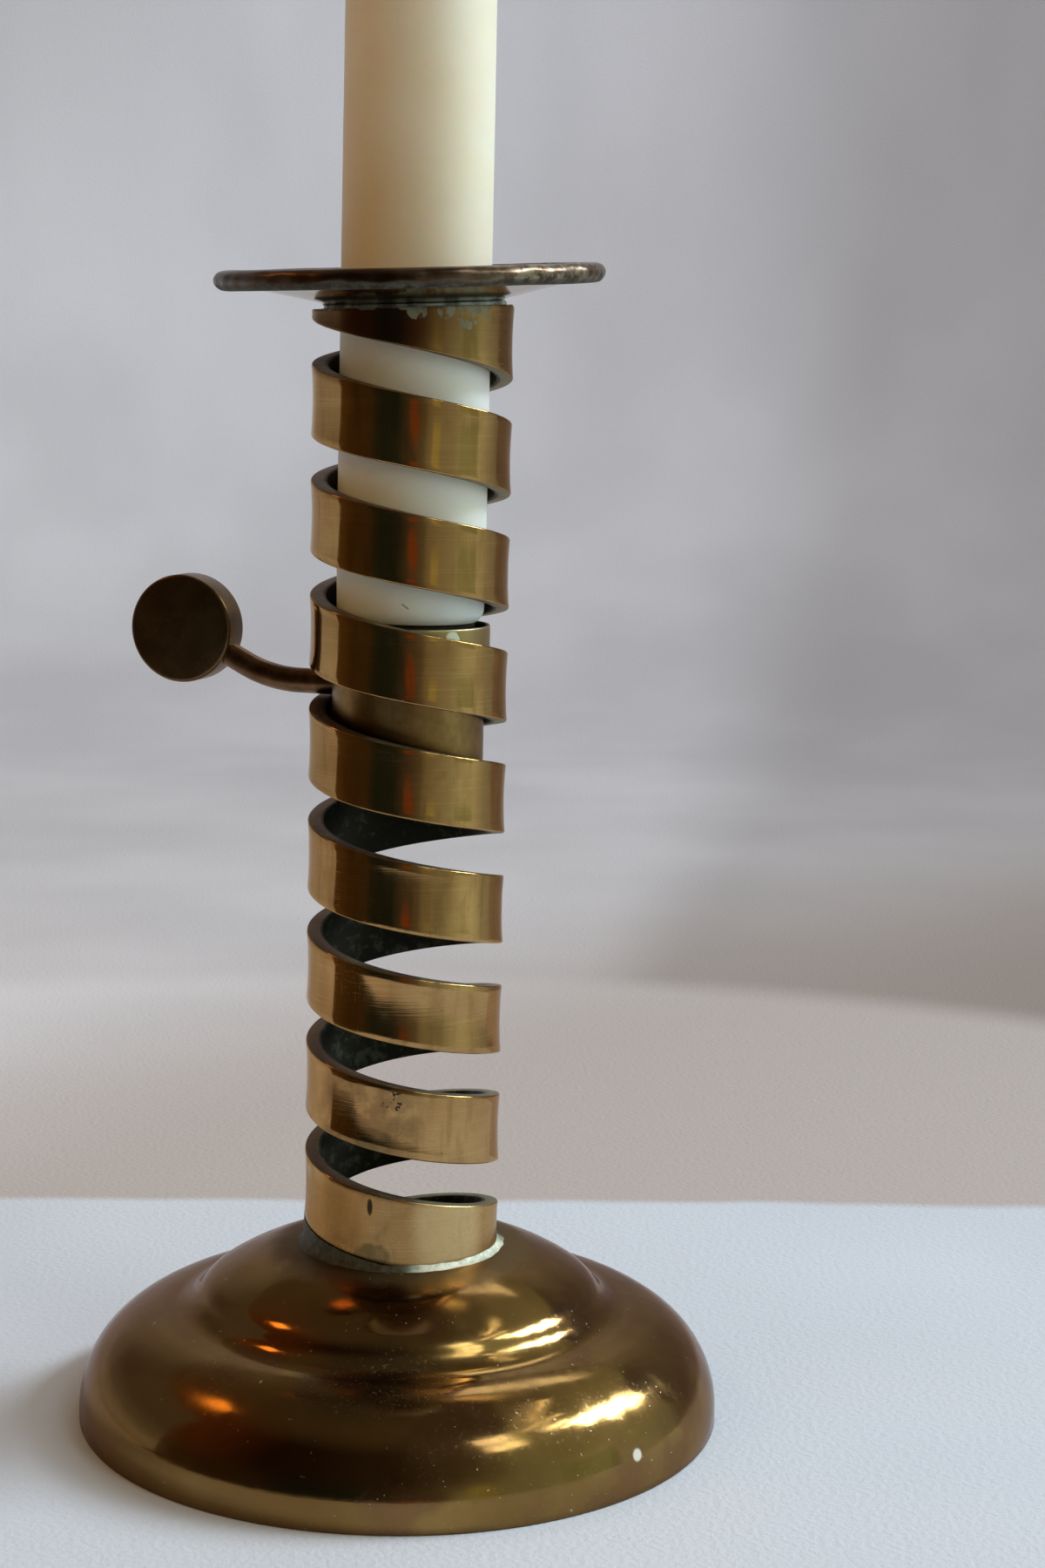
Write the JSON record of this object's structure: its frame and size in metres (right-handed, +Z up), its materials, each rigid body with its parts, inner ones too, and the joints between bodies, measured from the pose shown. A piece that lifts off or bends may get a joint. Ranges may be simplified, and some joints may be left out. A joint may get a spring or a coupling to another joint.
{
  "type": "spiral candle holder",
  "caption": "Candle holder with a coiled flat-strip column on a domed foot, a drip pan and a candle cup raised by turning a thumb knob.",
  "frame": {"origin": "centre of the foot's rim in the plane it stands on", "axes": "+Z up along the column, the thumb knob stands toward -X, the pictured side faces -Y"},
  "size_m": [0.0992, 0.0992, 0.3232],
  "materials": {
    "foot_brass": "polished, darkened with age",
    "coil_brass": "polished, worn",
    "pan_brass": "dark patina",
    "cup_brass": "satin, tarnished",
    "knob_brass": "dark brown patina",
    "solder": "dull, oxidised green and white",
    "wax": "waxy ivory, slightly translucent",
    "wick": "unburnt cotton"
  },
  "bodies": {
    "stand": {"foot": "foot_brass", "coil": "coil_brass", "foot_solder": "solder", "drip_pan": "pan_brass", "pan_solder": "solder"},
    "lift": {"cup_floor": "cup_brass"},
    "cup": {"candle_cup": "cup_brass", "arm": "cup_brass", "knob": "knob_brass"},
    "candle": {"candle": "wax", "wick": "wick"}
  },
  "joints": [
    {"name": "cup_lift", "type": "slide", "parent": "stand", "child": "lift", "axis": [0, 0, 1], "range_m": [-0.082, 0.0435]},
    {"name": "knob_turn", "type": "hinge", "parent": "lift", "child": "cup", "pos_m": [0, 0, 0.1], "axis": [0, 0, 1], "range_deg": [-900, 1710]},
    {"name": "candle_lift", "type": "slide", "parent": "lift", "child": "candle", "axis": [0, 0, 1], "range_m": [0, 0.165]}
  ],
  "couplings": [
    {"joint": "cup_lift", "follows": "knob_turn", "m_per_rad": -0.0027215}
  ]
}
